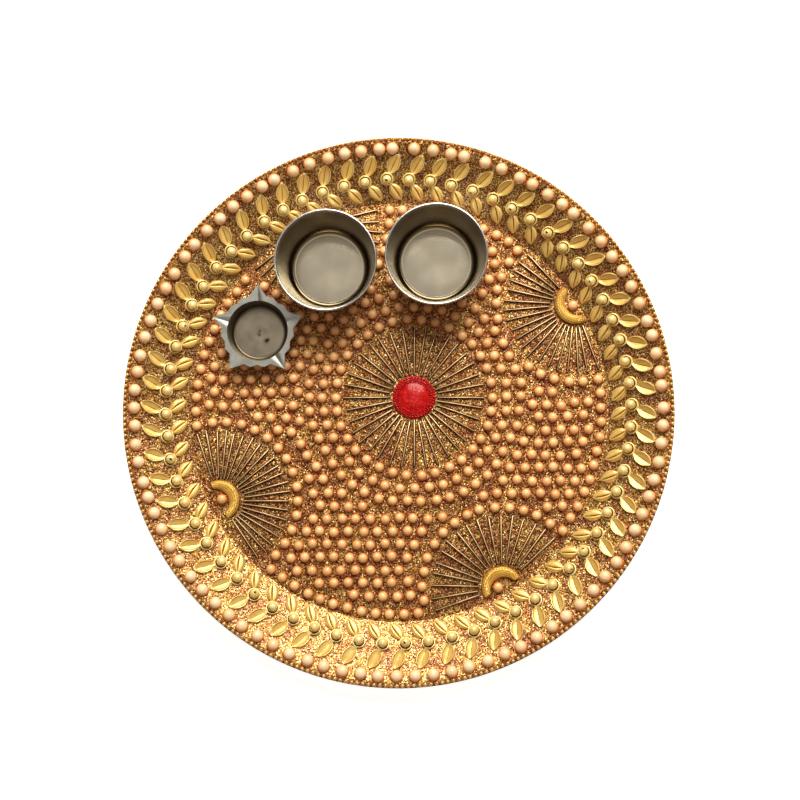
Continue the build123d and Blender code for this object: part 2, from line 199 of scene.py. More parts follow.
# a mesh piece from a shape in millimetres; marks are numbers kept on its points for the finish to read, and
# edges bent by more than the sharp angle stay hard, or all of them at 0
def newPiece(name, shape, finish, body, nodes, marks=None, sharp=None):
    points, faces = shape
    mesh = bpy.data.meshes.new(name)
    mesh.from_pydata((points * mm).tolist(), [], faces.tolist())
    for markName, values in (marks or {}).items():
        mark = mesh.attributes.new(markName, "FLOAT", "POINT")
        mark.data.foreach_set("value", np.asarray(values, np.float32))
    work = bmesh.new()
    work.from_mesh(mesh)
    bmesh.ops.remove_doubles(work, verts=work.verts, dist=weld)
    work.to_mesh(mesh)
    work.free()
    if sharp != 0:
        mesh.shade_smooth()
    if sharp:
        mesh.set_sharp_from_angle(angle=math.radians(sharp))
    mesh.materials.append(finish)
    piece = bpy.data.objects.new(name, mesh)
    scene.collection.objects.link(piece)
    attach(piece, body)
    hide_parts(*nodes)


# values that finishes share: where most soft noise lies, the tones of a piece without marks, and the noise in
# gold lacquer and on spun steel
noiseSpan = (0.3, 0.7)
plainTones = [(0.0, (1.0, 1.0, 1.0)), (1.0, (0.5, 0.5, 0.5))]
lacquer = {"cloud": {"Detail": 4.0, "Roughness": 0.6}, "scratches": {"Scale": 2600.0, "Detail": 2.0},
           "coatRough": 0.28}
spun = {"lines": {"Detail": 3.0, "Roughness": 0.7}, "smudges": {"Detail": 4.0}}


# inputs of a node by name or number: each is another node's output, which is linked, or a plain value
def setInputs(node, inputs):
    for key, value in inputs.items():
        if isinstance(value, bpy.types.NodeSocket):
            node.id_data.links.new(value, node.inputs[key])
        else:
            node.inputs[key].default_value = value


# shader node by kind, with settings and inputs
def addNode(tree, kind, inputs=None, **settings):
    node = tree.nodes.new("ShaderNode" + kind)
    for key, value in settings.items():
        setattr(node, key, value)
    setInputs(node, inputs or {})
    return node


# new finish with its tree of nodes and its shader
def newFinish(name):
    finish = bpy.data.materials.new(name)
    finish.use_nodes = True
    return finish, finish.node_tree, finish.node_tree.nodes["Principled BSDF"]


# place on the piece, in metres
def addPlace(tree):
    return addNode(tree, "TexCoord").outputs["Object"]


# soft noise at a place
def addNoise(tree, place, **inputs):
    return addNode(tree, "TexNoise", {"Vector": place, **inputs}).outputs["Fac"]


# small cells at a place, each with a colour of its own, and the parts of that colour
def addCells(tree, place, scale):
    cells = addNode(tree, "TexVoronoi", {"Vector": place, "Scale": scale, "Randomness": 1.0})
    colour = cells.outputs["Color"]
    return colour, addNode(tree, "SeparateColor", {"Color": colour}).outputs


# vector, or length, worked out from one input or two
def addVector(tree, operation, *inputs):
    vector = addNode(tree, "VectorMath", dict(enumerate(inputs)), operation=operation)
    return vector.outputs["Value" if operation == "LENGTH" else "Vector"]


# colour between (place, colour) stops, read by a number
def addRamp(tree, stops, source):
    ramp = addNode(tree, "ValToRGB", {"Fac": source})
    band = ramp.color_ramp
    while len(band.elements) < len(stops):
        band.elements.new(0.5)
    for element, (position, colour) in zip(band.elements, stops):
        element.position = position
        element.color = (*colour, 1.0)
    return ramp.outputs["Color"]


# one colour times another
def multiplied(tree, first, second):
    inputs = {"Factor": 1.0, "A": first, "B": second}
    return addNode(tree, "Mix", inputs, data_type="RGBA", blend_type="MULTIPLY").outputs["Result"]


# normal bent by the slope of a height; the distance is in metres
def addBump(tree, source, strength, distance=0.0002):
    inputs = {"Height": source, "Strength": strength, "Distance": distance}
    return addNode(tree, "Bump", inputs).outputs["Normal"]


# numbers of one span run to another span
def addRange(tree, source, low, high, fromLow=0.0, fromHigh=1.0):
    inputs = {"Value": source, "From Min": fromLow, "From Max": fromHigh, "To Min": low, "To Max": high}
    return addNode(tree, "MapRange", inputs).outputs["Result"]


# number kept on the points under a name
def addMark(tree, name):
    return addNode(tree, "Attribute", attribute_name=name).outputs["Fac"]


# body colour darkened by the painted shade kept on the points, and on the lamp's floor also by its stains
def addShadeAndStain(tree, body, stops):
    return multiplied(tree, body, addRamp(tree, stops, addMark(tree, "shadeAndStain")))


# glitter paper: small flakes, each with its own colour and gloss, duller in patches; the normal is the face's
# own plus the flake's tilt, at unit length
def glitterFinish(name, flake, stops):
    finish, tree, shader = newFinish(name)
    place = addPlace(tree)
    flakes, parts = addCells(tree, place, 1 / (flake["size"] * mm))
    patch = addRamp(tree, flake["patches"], addNoise(tree, place, **flake["cloud"]))
    lean = addVector(tree, "SUBTRACT", flakes, (0.5, 0.5, 0.5))
    tilt = addVector(tree, "MULTIPLY", lean, (flake["tilt"], flake["tilt"], 0.0))
    facing = addNode(tree, "NewGeometry").outputs["Normal"]
    setInputs(shader, {
        "Metallic": flake["metal"], "Coat Weight": flake["coat"], "Coat Roughness": flake["coatRough"],
        "Base Color": multiplied(tree, addRamp(tree, stops, parts["Blue"]), patch),
        "Roughness": addRange(tree, parts["Green"], *flake["gloss"]),
        "Normal": addVector(tree, "NORMALIZE", addVector(tree, "ADD", facing, tilt))})
    return finish


# pearl colour, deep towards the glued edge as painted shade and pale at the crown as painted light; a little
# different from bead to bead, under a clear coat
def shadedPearlFinish(name, pearl):
    finish, tree, shader = newFinish(name)
    body = addRamp(tree, pearl["stops"], addMark(tree, "crown"))
    own = addRamp(tree, pearl["tints"], addMark(tree, "tint"))
    skin = addNoise(tree, addPlace(tree), **pearl["skin"])
    normal = addBump(tree, skin, pearl["bump"])
    setInputs(shader, {**pearl["shine"], "Base Color": multiplied(tree, body, own), "Normal": normal})
    return finish


# gold lacquer on stamped plastic or metal: colour wanders softly, with fine scratches and a dusty gloss
def goldFinish(name, gold):
    finish, tree, shader = newFinish(name)
    place = addPlace(tree)
    cloud = addNoise(tree, place, Scale=gold["cloud"], **lacquer["cloud"])
    scratches = addNoise(tree, place, **lacquer["scratches"])
    setInputs(shader, {
        "Metallic": gold["metal"], "Coat Weight": gold["coat"], "Coat Roughness": lacquer["coatRough"],
        # base colour darkened by the painted shade kept on the points
        "Base Color": addShadeAndStain(tree, addRamp(tree, gold["stops"], cloud), gold["shadesAndStains"]),
        "Roughness": addRange(tree, cloud, *gold["gloss"], *noiseSpan),
        "Normal": addBump(tree, scratches, gold["bump"])})
    return finish


# pressed steel: spin lines run round a middle, with smudges over them; reads the distance from that middle
def steelFinish(name, steel, middle):
    finish, tree, shader = newFinish(name)
    centre = {"Vector": addPlace(tree), "Location": tuple(float(x) * mm for x in middle)}
    place = addNode(tree, "Mapping", centre, vector_type="TEXTURE").outputs["Vector"]
    reach = addVector(tree, "LENGTH", addVector(tree, "MULTIPLY", place, (1.0, 1.0, 0.0)))
    height = addNode(tree, "SeparateXYZ", {"Vector": place}).outputs["Z"]
    section = addNode(tree, "CombineXYZ", {"X": reach, "Y": height}).outputs["Vector"]
    spin = addNoise(tree, section, Scale=steel["lines"], **spun["lines"])
    smudge = addNoise(tree, place, Scale=steel["smudges"], **spun["smudges"])
    setInputs(shader, {
        # base colour darkened by the painted shade, and on the lamp's floor by its stains, kept on the points
        "Metallic": 1.0, "Base Color": addShadeAndStain(tree, addRamp(tree, steel["stops"], smudge), steel["shadesAndStains"]),
        "Roughness": addRange(tree, smudge, *steel["gloss"], *noiseSpan),
        "Normal": addBump(tree, spin, steel["bump"])})
    return finish


# steel tray: flat bottom, sloping wall, flat rim with a turned-down edge
plate = {"columns": 240, "setbacks": [1.5, 0.3, 0.3, 0.15, 0.15, 0.4, 0.4, 1.5]}
plateSteel = {"lines": 900.0, "smudges": 25.0, "bump": 0.12, "gloss": (0.26, 0.4), "shadesAndStains": plainTones,
              "stops": [(0.3, (0.50, 0.48, 0.45)), (0.7, (0.60, 0.58, 0.55))]}


# radius of the line a depth under the wall's face, at a height
def wallLine(depth, height):
    rise = height - tray["floorTop"] + depth / math.cos(tray["slope"])
    return tray["floorRadius"] + rise / math.tan(tray["slope"])


# tray's section: out along the bottom, up behind the wall, round the rim's hem and back over the top
def makePlate():
    skin, sheet = tray["paper"], tray["steel"]
    crest, outside = tray["rimTop"] - skin, tray["radius"] - skin
    under, low, hem = skin + sheet, crest - sheet, tray["rimTop"] - tray["hem"]
    inner = outside - sheet
    corners = [(0, 0), (wallLine(under, 0), 0), (wallLine(under, low), low), (inner, low), (inner, hem),
               (outside, hem), (outside, crest), (wallLine(skin, crest), crest),
               (wallLine(skin, sheet), sheet), (0, sheet)]
    shape = turned(roundedLine(corners, plate["setbacks"]), plate["columns"])
    finish = steelFinish("traySteel", plateSteel, (0, 0, 0))
    newPiece("steelTray", shape, finish, "tray", ["thali_plate"], sharp=40)


makePlate()
print("tray done")

# glitter paper on the floor and up the wall
paper = {"cells": 262, "wallRows": 40, "wallColumns": 880, "rough": 0.06, "spread": (-1, 0.6),
         "setbacks": [0.8, 0.6], "evenRows": 2}
floorFlake = {"size": 0.45, "metal": 0.6, "tilt": 0.75, "coat": 0.0, "coatRough": 0.36, "gloss": (0.26, 0.46),
              "cloud": {"Scale": 90.0, "Detail": 3.0},
              "patches": [(0.3, (0.62, 0.40, 0.40)), (0.7, (1.0, 1.0, 0.82))]}
wallFlake = dict(floorFlake, size=0.5, metal=0.75, tilt=0.36, coat=0.15)
floorStops = [(0.0, (0.035, 0.003, 0.0005)), (0.3, (0.13, 0.024, 0.002)), (0.6, (0.42, 0.155, 0.024)),
              (0.85, (0.76, 0.46, 0.13)), (1.0, (1.0, 0.87, 0.48))]
# the wall's colours are a lighter, yellower copy of the floor paper's: painted light, set for the brightly
# lit front wall
litWallStops = [(0.0, (0.04, 0.006, 0.001)), (0.3, (0.19, 0.06, 0.006)), (0.6, (0.49, 0.225, 0.036)),
             (0.85, (0.87, 0.58, 0.19)), (1.0, (1.0, 0.96, 0.68))]


# floor sheet: a square of cells eased into a disc, x = u root(1 - v v / 2) and y = v root(1 - u u / 2), with
# rough heights inside an even edge, which drops to a flat underside
def makeFloorPaper():
    cells = paper["cells"]
    span = np.linspace(-1, 1, cells)
    u, v = np.meshgrid(span, span, indexing="xy")
    x, y = u * np.sqrt(1 - v * v / 2), v * np.sqrt(1 - u * u / 2)
    edge = np.maximum(np.abs(u), np.abs(v)) >= 1
    rough = np.where(edge, 0.0, chance.uniform(*paper["spread"], u.shape) * paper["rough"])
    radius = tray["floorRadius"]
    top = np.stack([x * radius, y * radius, tray["floorTop"] + rough], axis=-1).reshape(-1, 3)
    index = np.arange(cells * cells).reshape(cells, cells)
    ring = np.concatenate([index[0, :-1], index[:-1, -1], index[-1, :0:-1], index[:0:-1, 0]])
    drop = len(top) + np.arange(len(ring))
    ringOn, dropOn = np.roll(ring, -1), np.roll(drop, -1)
    low = top[ring] * (1, 1, 0) + (0, 0, tray["steel"])
    points = np.concatenate([top, low, low * (0, 0, 1)])
    side = np.stack([ring, drop, dropOn, ringOn], axis=-1)
    under = np.stack([drop, drop + len(ring), dropOn + len(ring), dropOn], axis=-1)
    return points, np.concatenate([gridFaces(cells, cells, loopColumns=False), side, under])


# wall band: its closed section goes up the outside, over the rim, down the wall's face and back behind it
def makeWallPaper():
    skin, radius, foot, top = tray["paper"], tray["radius"], tray["floorTop"], tray["rimTop"]
    crest, outside, hem = top - skin, radius - skin, top - tray["wrap"]
    corners = [(radius, hem), (radius, top), (wallLine(0, top), top), (tray["floorRadius"], foot)]
    face = roundedLine(corners, paper["setbacks"])
    wall = face[-2] + (face[-1] - face[-2]) * np.linspace(0, 1, paper["wallRows"])[1:, None]
    back = [(wallLine(skin, foot), foot), (wallLine(skin, crest), crest), (outside, crest), (outside, hem)]
    profile = np.concatenate([face[:-1], wall, back])
    points, faces = turned(profile, paper["wallColumns"], loopRows=True)
    grid = points.reshape(len(profile), -1, 3)
    seen = slice(paper["evenRows"], len(face) + len(wall) - paper["evenRows"])
    grid[seen, :, 2] += chance.uniform(*paper["spread"], grid[seen, :, 2].shape) * paper["rough"]
    return grid.reshape(-1, 3), faces


# both sheets of paper, with flat faces that glint one by one
def makePaper():
    floorFinish = glitterFinish("floorGlitter", floorFlake, floorStops)
    newPiece("floorPaper", makeFloorPaper(), floorFinish, "tray", ["floor_glitter_sheet"], sharp=0)
    wallFinish = glitterFinish("wallGlitter", wallFlake, litWallStops)
    newPiece("wallPaper", makeWallPaper(), wallFinish, "tray", ["wall_glitter_band"], sharp=0)


makePaper()
print("glitter paper done")

# ball chain on the rim: bored balls on a twisted thread
chain = {"ball": 2.0, "bore": 0.64, "rows": 7, "columns": 8, "thread": 0.6, "threadRows": 1400,
         "threadColumns": 8, "lobes": 2, "pinch": 0.1, "twist": 900}
chainGold = {"metal": 0.6, "cloud": 260.0, "gloss": (0.2, 0.35), "bump": 0.1, "coat": 0.4,
             "shadesAndStains": plainTones, "stops": [(0.3, (0.74, 0.31, 0.06)), (0.7, (1.0, 0.58, 0.18))]}
# the thread is a darkened copy of the balls' gold: painted shade in the gaps between the balls
shadedThreadGold = dict(chainGold, metal=0.3, coat=0.0,
                  stops=[(0.3, (0.10, 0.04, 0.012)), (0.7, (0.22, 0.10, 0.03))])


# ball with a bore along its third axis: the closed section is the ball's arc between the edges of the bore
def boredBall(width, bore, rows, columns):
    most = math.acos(bore / width)
    arc = np.linspace(-most, most, rows)
    section = np.stack([width / 2 * np.cos(arc), width / 2 * np.sin(arc)], axis=-1)
    return turned(section, columns, loopRows=True)


# thread: a ring whose round section is pinched in two lobes that turn as it goes
def threadRing(middle, radius):
    rows, columns, lobes, pinch = chain["threadRows"], chain["threadColumns"], chain["lobes"], chain["pinch"]
    along = fullTurn(rows)[:, None]
    around = fullTurn(columns)[None]
    wave = np.cos(lobes * around + chain["twist"] / lobes * along)
    thick = chain["thread"] / 2 * (1 - pinch + pinch * wave)
    reach = radius + thick * np.cos(around)
    points = polar(reach, along, thick * np.sin(around))
    return points.reshape(-1, 3) + middle, gridFaces(rows, columns, loopRows=True)[:, ::-1]


# chain: each ball's bore lies level and square to its spoke, and the thread runs at the spokes' mean length
def makeChain():
    balls = middlesOf("rim_chain_balls")
    middle = balls.mean(axis=0)
    spoke = balls - middle
    radius = np.hypot(spoke[:, 0], spoke[:, 1])
    axes = np.stack([-spoke[:, 1], spoke[:, 0], 0 * radius], axis=-1) / radius[:, None]
    ball = boredBall(chain["ball"], chain["bore"], chain["rows"], chain["columns"])
    newPiece("chainBalls", setDown(ball, balls, axisFrames(axes)), goldFinish("chainGold", chainGold), "tray",
             ["rim_chain_balls"], sharp=70)
    newPiece("chainThread", threadRing(middle, radius.mean()), goldFinish("shadedThreadGold", shadedThreadGold), "tray",
             ["rim_chain_thread"])


makeChain()
print("rim chain done")

# half pearls on the wall, on the floor and in the fans
# the stops run with height from painted shade at the glued edge to painted light at the crown
rimPearl = {"width": 7.2, "sink": 0.4, "rows": 9, "columns": 20, "bump": 0.12, "mostTurn": 6.0,
            "backDepth": 0.03, "skin": {"Scale": 900.0, "Detail": 2.0},
            "shine": {"Roughness": 0.42, "Specular IOR Level": 0.5, "Coat Weight": 0.6,
                      "Coat Roughness": 0.22},
            "stops": [(0.05, (0.62, 0.09, 0.003)), (0.4, (0.96, 0.40, 0.11)), (0.8, (1.0, 0.72, 0.44))],
            "tints": [(0.0, (0.95, 0.84, 0.72)), (1.0, (1.0, 1.0, 1.0))]}
fieldPearl = dict(rimPearl, width=6.1, sink=0.55, rows=6, columns=11,
                  stops=[(0.05, (0.40, 0.03, 0.001)), (0.4, (0.74, 0.17, 0.018)), (0.85, (1.0, 0.59, 0.25))],
                  tints=[(0.0, (0.82, 0.74, 0.66)), (1.0, (1.0, 1.0, 1.0))])
fanPearl = dict(fieldPearl, rows=9, columns=20)


# half pearl: a flat back, then the ball's arc from the back's edge to the crown
def halfPearl(pearl):
    radius = pearl["width"] / 2
    arc = np.linspace(-math.asin(pearl["sink"] / radius), math.pi / 2, pearl["rows"])
    edge = np.stack([radius * np.cos(arc), pearl["sink"] + radius * np.sin(arc)], axis=-1)
    return turned(np.concatenate([[(0, 0)], edge]), pearl["columns"])


# marks of many half pearls: the height as a share of the crown's, which sets the painted shade and light, and
# one tint at random for each
def pearlMarks(shape, count):
    height = shape[0][:, 2] / shape[0][:, 2].max()
    return {"crown": np.tile(height, count), "tint": np.repeat(chance.uniform(0, 1, count), len(height))}


# middle of a half pearl's flat back on the wall: mean of the corners that lie lowest off the wall
def wallBacks(nodeName):
    backs = []
    for points in apart(nodeName):
        off = wallFrames(points.mean(axis=0)[None], np.zeros(1))[0, :, 2]
        height = points @ off
        backs.append(points[height < height.min() + rimPearl["backDepth"]].mean(axis=0))
    return np.array(backs)


# half pearls of one node, each turned at random
def setPearls(name, pearl, seats, framesFor, finish, node):
    shape = halfPearl(pearl)
    frames = framesFor(chance.uniform(0, pearl["mostTurn"], len(seats)))
    newPiece(name, setDown(shape, seats, frames), finish, "tray", [node],
             pearlMarks(shape, len(seats)), sharp=60)


# half pearls take their seats from the solids, those on the floor at the paper's height
def makePearls():
    backs = wallBacks("rim_pearls")
    setPearls("rimPearls", rimPearl, backs, lambda turns: wallFrames(backs, turns),
              shadedPearlFinish("rimPearl", rimPearl), "rim_pearls")
    finish = shadedPearlFinish("fieldPearl", fieldPearl)
    for place, pearl in (("field", fieldPearl), ("fan", fanPearl)):
        middles = middlesOf(place + "_pearls")
        middles[:, 2] = tray["floorTop"]
        setPearls(place + "Pearls", pearl, middles, floorFrames, finish, place + "_pearls")


makePearls()
print("pearls done")

# leaf sprigs: a long open pod, a cup with a lip and a short leaf with a slit; across lists where a leaf's
# section has points, as shares of half its width, and a soft line is its (middle, width) in the same shares
sprig = {"start": 2.6, "root": 0.5, "stations": 15, "height": 1.9, "endHeight": 0.4, "fade": 0.18}
pod = {"size": (12.8, 7.4), "lean": math.radians(27.0), "hollow": 1.35, "wall": 0.09, "hollowWidth": 0.82,
       "curve": 0.6, "midLine": (0, 0.1), "rimLine": (0.74, 0.07), "rimShade": 0.85, "floorTone": 0.3,
       "floorWidth": 0.8, "acrossHalf": [1, 0.975, 0.94, 0.9, 0.84, 0.79, 0.74, 0.67, 0.5, 0.3, 0.12, 0]}
grain = {"size": (11.8, 6.8), "lean": math.radians(33.0), "slit": (0.16, 0.09), "slitDepth": 1.1,
         "curve": 4.5, "edgeLine": (0.7, 0.1), "edgeShade": 0.6, "faceShade": 0.25,
         "across": [1, 0.98, 0.93, 0.84, 0.68, 0.5, 0.36, 0.28, 0.22, 0.16, 0.1, 0.04, -0.04, -0.18, -0.36,
                    -0.54, -0.7, -0.84, -0.93, -0.98, -1]}
cup = {"radius": 3.75, "pocket": 3.0, "lip": 1.7, "floor": 0.5, "setbacks": [0.0, 0.36, 0.36, 0.3],
       "steps": 4, "columns": 22, "slack": 0.01}
bead = {"width": 5.4, "bore": 1.5, "rise": 3.26, "rows": 11, "columns": 18}
# the shade stops darken the leaves as painted shade in their creases, slits, hollows, edge lines and cup
# pockets
leafGold = {"metal": 0.35, "cloud": 150.0, "gloss": (0.3, 0.42), "bump": 0.08, "coat": 0.6,
            "shadesAndStains": [(0.0, (1.0, 1.0, 1.0)), (0.3, (0.86, 0.70, 0.44)), (0.7, (0.50, 0.29, 0.10)),
                      (1.0, (0.16, 0.06, 0.012))],
            "stops": [(0.3, (1.0, 0.70, 0.22)), (0.7, (1.0, 0.86, 0.39))]}
beadGold = {"metal": 0.25, "cloud": 120.0, "gloss": (0.2, 0.32), "bump": 0.05, "coat": 0.6,
            "shadesAndStains": plainTones, "stops": [(0.3, (0.96, 0.66, 0.20)), (0.7, (1.0, 0.82, 0.36))]}


# pointed oval carried from root to tip: half the width is the drop of a circle's arc, and the section runs
# over the top from edge to edge and back underneath; rise gives the height of the top as a share and its
# painted shade, from place along and across
def leafShape(size, over, rise):
    length, width = size
    along = (1 - np.cos(np.linspace(0, np.pi, sprig["stations"]))) / 2
    circle = (length ** 2 + width ** 2) / (4 * width)
    half = np.sqrt(circle ** 2 - ((along - 0.5) * length) ** 2) - (circle - width / 2)
    ends = sprig["endHeight"] + (1 - sprig["endHeight"]) * np.sin(np.pi * along) ** 0.5
    share, shadeAndStain = rise(along[:, None], over[None])
    flat = np.zeros((len(along), len(underside)))
    across = np.concatenate([over, underside])
    height = np.concatenate([sprig["height"] * ends[:, None] * share, flat], axis=1)
    x = sprig["start"] + sprig["root"] + along * (length - sprig["root"])
    points = np.stack([x[:, None] + 0 * height, half[:, None] * across[None], height], axis=-1)
    shadesAndStains = np.concatenate([shadeAndStain, flat], axis=1)
    return points.reshape(-1, 3), gridFaces(len(along), len(across)), shadesAndStains.reshape(-1)


# both leaves fade their hollow out towards the ends, with an even start and stop
def endFade(along):
    near = np.clip(np.minimum(along, 1 - along) / sprig["fade"], 0, 1)
    return near * near * (3 - 2 * near)


# pod: steep sides up to a thin rim, then a hollow that falls quickly and runs out to the middle line; painted
# shade is deepest in that line and in a thin one inside the rim, and lighter over the hollow's floor
def podRise(along, across):
    out = np.abs(across)
    side = np.clip((1 - out) / pod["wall"], 0, 1) ** pod["curve"]
    fold = np.clip(1 - out / pod["hollowWidth"], 0, 1) ** pod["curve"] * endFade(along)
    lines = np.maximum(softLine(out, *pod["midLine"]), pod["rimShade"] * softLine(out, *pod["rimLine"]))
    shadeAndStain = np.maximum(lines, pod["floorTone"] * (out < pod["floorWidth"])) * endFade(along)
    return side - pod["hollow"] / sprig["height"] * fold, shadeAndStain


# grain: two rounded halves with a narrow slit a little to one side; painted shade is deepest in the slit,
# with a line inside the edge and a light shade over the face
def grainRise(along, across):
    out = np.abs(across)
    side = np.clip(1 - out ** grain["curve"], 0, 1) ** 0.5
    slit = softLine(across, *grain["slit"]) * endFade(along)
    line = grain["edgeShade"] * softLine(out, *grain["edgeLine"]) * endFade(along)
    shadeAndStain = np.maximum(np.maximum(slit, line), grain["faceShade"] * (out < grain["edgeLine"][0]))
    return side * (1 - grain["slitDepth"] / sprig["height"] * slit), shadeAndStain


# points turned by an angle about the upright axis
def turnedBy(points, angle):
    cosine, sine = math.cos(angle), math.sin(angle)
    spin = np.array([[cosine, -sine, 0], [sine, cosine, 0], [0, 0, 1]])
    return points @ spin.T


# sprig: pod and grain lean away from one line through the cup; the cup's painted shade is deep in its pocket
# alone
def sprigShape():
    podHalf = np.array(pod["acrossHalf"])
    podOver = np.concatenate([podHalf, -podHalf[-2::-1]])
    podPoints, podFaces, podTone = leafShape(pod["size"], podOver, podRise)
    grainPoints, grainFaces, grainTone = leafShape(grain["size"], np.array(grain["across"]), grainRise)
    radius, lip, pocket, low = cup["radius"], cup["lip"], cup["pocket"], cup["floor"]
    corners = [(0, 0), (radius, 0), (radius, lip), (pocket, lip), (pocket, low), (0, low)]
    profile = roundedLine(corners, cup["setbacks"], cup["steps"])
    long = (turnedBy(podPoints, -pod["lean"]), podFaces)
    short = (turnedBy(grainPoints, math.pi + grain["lean"]), grainFaces)
    inPocket = (profile[:, 0] <= pocket) & (profile[:, 1] > low - cup["slack"])
    shadeAndStain = np.concatenate([podTone, grainTone, np.repeat(inPocket, cup["columns"])])
    return joined(long, short, turned(profile, cup["columns"])), shadeAndStain


# seats of the sprigs: the cup's middle lies a bead's rise under the nearest bead, and the tip of the long
# leaf is the corner that lies farthest from it
def sprigSeats(beads):
    origins, turns = [], []
    for points in apart("leaf_sprigs"):
        nearest = beads[np.linalg.norm(beads - points.mean(axis=0), axis=1).argmin()]
        seat = wallFrames(nearest[None], np.zeros(1))[0]
        origin = nearest - bead["rise"] * seat[:, 2]
        local = (points - origin) @ seat
        tip = local[np.hypot(local[:, 0], local[:, 1]).argmax()]
        origins.append(origin)
        turns.append(math.atan2(tip[1], tip[0]) + pod["lean"])
    return np.array(origins), np.array(turns)


# bore of each bead: the long way of the corners of the triangles that face inwards
def beadSeats():
    places, triangles, solid = solidsOf("leaf_beads")
    middles = middlesOf("leaf_beads")
    corners = places[triangles]
    facing = np.cross(corners[:, 1] - corners[:, 0], corners[:, 2] - corners[:, 0])
    owner = solid[triangles[:, 0]]
    inward = np.einsum("ti,ti->t", facing, corners.mean(axis=1) - middles[owner]) < 0
    axes = []
    for k, middle in enumerate(middles):
        axes.append(longWay(corners[inward & (owner == k)].reshape(-1, 3), middle))
    return middles, np.array(axes)


# sprigs follow the beads in their cups
def makeSprigs():
    beads, axes = beadSeats()
    origins, turns = sprigSeats(beads)
    shape, shadeAndStain = sprigShape()
    sprigs = setDown(shape, origins, wallFrames(origins, turns))
    newPiece("leafSprigs", sprigs, goldFinish("leafGold", leafGold), "tray", ["leaf_sprigs"],
             {"shadeAndStain": np.tile(shadeAndStain, len(origins))}, sharp=50)
    ball = boredBall(bead["width"], bead["bore"], bead["rows"], bead["columns"])
    newPiece("leafBeads", setDown(ball, beads, axisFrames(axes)), goldFinish("beadGold", beadGold), "tray",
             ["leaf_beads"], sharp=60)


makeSprigs()
print("leaf sprigs done")

# pipe beads of the medallion and the fans
pipe = {"width": 1.4, "bore": 0.5, "length": 26.0, "end": 0.18, "columns": 20, "glue": 0.12}
# the shade stops leave the copper's colour in a thin line along each pipe's top and paint shade over its
# flanks
pipeCopper = {"metal": 0.3, "cloud": 300.0, "gloss": (0.3, 0.45), "bump": 0.12, "coat": 0.1,
              "shadesAndStains": [(0.0, (1.0, 1.0, 1.0)), (0.015, (0.85, 0.8, 0.75)), (0.055, (0.08, 0.035, 0.02)),
                        (1.0, (0.03, 0.012, 0.006))],
              "stops": [(0.3, (0.70, 0.42, 0.18)), (0.7, (1.0, 0.70, 0.35))]}


# tube along its third axis: up the outside with eased ends and down the bore
def pipeShape():
    out, bore, long, ease = pipe["width"] / 2, pipe["bore"] / 2, pipe["length"] / 2, pipe["end"]
    lower = [(bore, -long), (out - ease, -long), (out, -long + ease)]
    upper = [(reach, -height) for reach, height in reversed(lower)]
    return turned(lower + [(out, 0)] + upper, pipe["columns"], loopRows=True)


# each pipe lies along the long way of its solid; its painted shade is the drop below its top as a share of
# its width
def makePipes():
    finish = goldFinish("pipeCopper", pipeCopper)
    top = tray["floorTop"] + pipe["glue"] + pipe["width"]
    for fan in ("medallion", "right_fan", "back_fan", "left_fan", "front_fan"):
        each = apart(fan + "_pipes")
        middles = np.array([points.mean(axis=0) for points in each])
        axes = np.array([longWay(points, middle) for points, middle in zip(each, middles)])
        points, faces = setDown(pipeShape(), middles, axisFrames(axes))
        drop = np.clip((top - points[:, 2]) / pipe["width"], 0, 1)
        newPiece(fan.split("_")[0] + "Pipes", (points, faces), finish, "tray",
                 [fan + "_pipes"], {"shadeAndStain": drop}, sharp=50)


makePipes()
print("pipe beads done")

# half moons of the fans; each fan's hub is given by its bearing in degrees and its distance in from the wall
moon = {"radius": 11.6, "width": 6.6, "horn": 4.6, "height": 2.6, "reach": math.radians(94.0),
        "stations": 305, "columns": 17, "blunt": 0.05, "endWidth": 0.35, "endHeight": 0.3, "arch": 2.6,
        "ribs": 19, "rib": 0.2, "ribEven": 0.6, "line": 0.1, "lineWaves": 5, "relief": 1.6, "edgeCalm": 8,
        "ribShade": 0.8, "lineShade": 0.6, "edgeShade": 6, "right": (30.7, 1.8), "back": (115.1, 1.8),
        "left": (207.0, 5.8), "front": (300.4, 3.6)}
# the shade stops paint shade into the dips of the ribs and lines and towards the edges
moonGold = {"metal": 0.5, "cloud": 200.0, "gloss": (0.26, 0.42), "bump": 0.12, "coat": 0.3,
            "shadesAndStains": [(0.0, (1.0, 1.0, 1.0)), (0.4, (0.8, 0.66, 0.45)), (1.0, (0.26, 0.13, 0.03))],
            "stops": [(0.3, (0.86, 0.54, 0.10)), (0.7, (1.0, 0.74, 0.22))]}


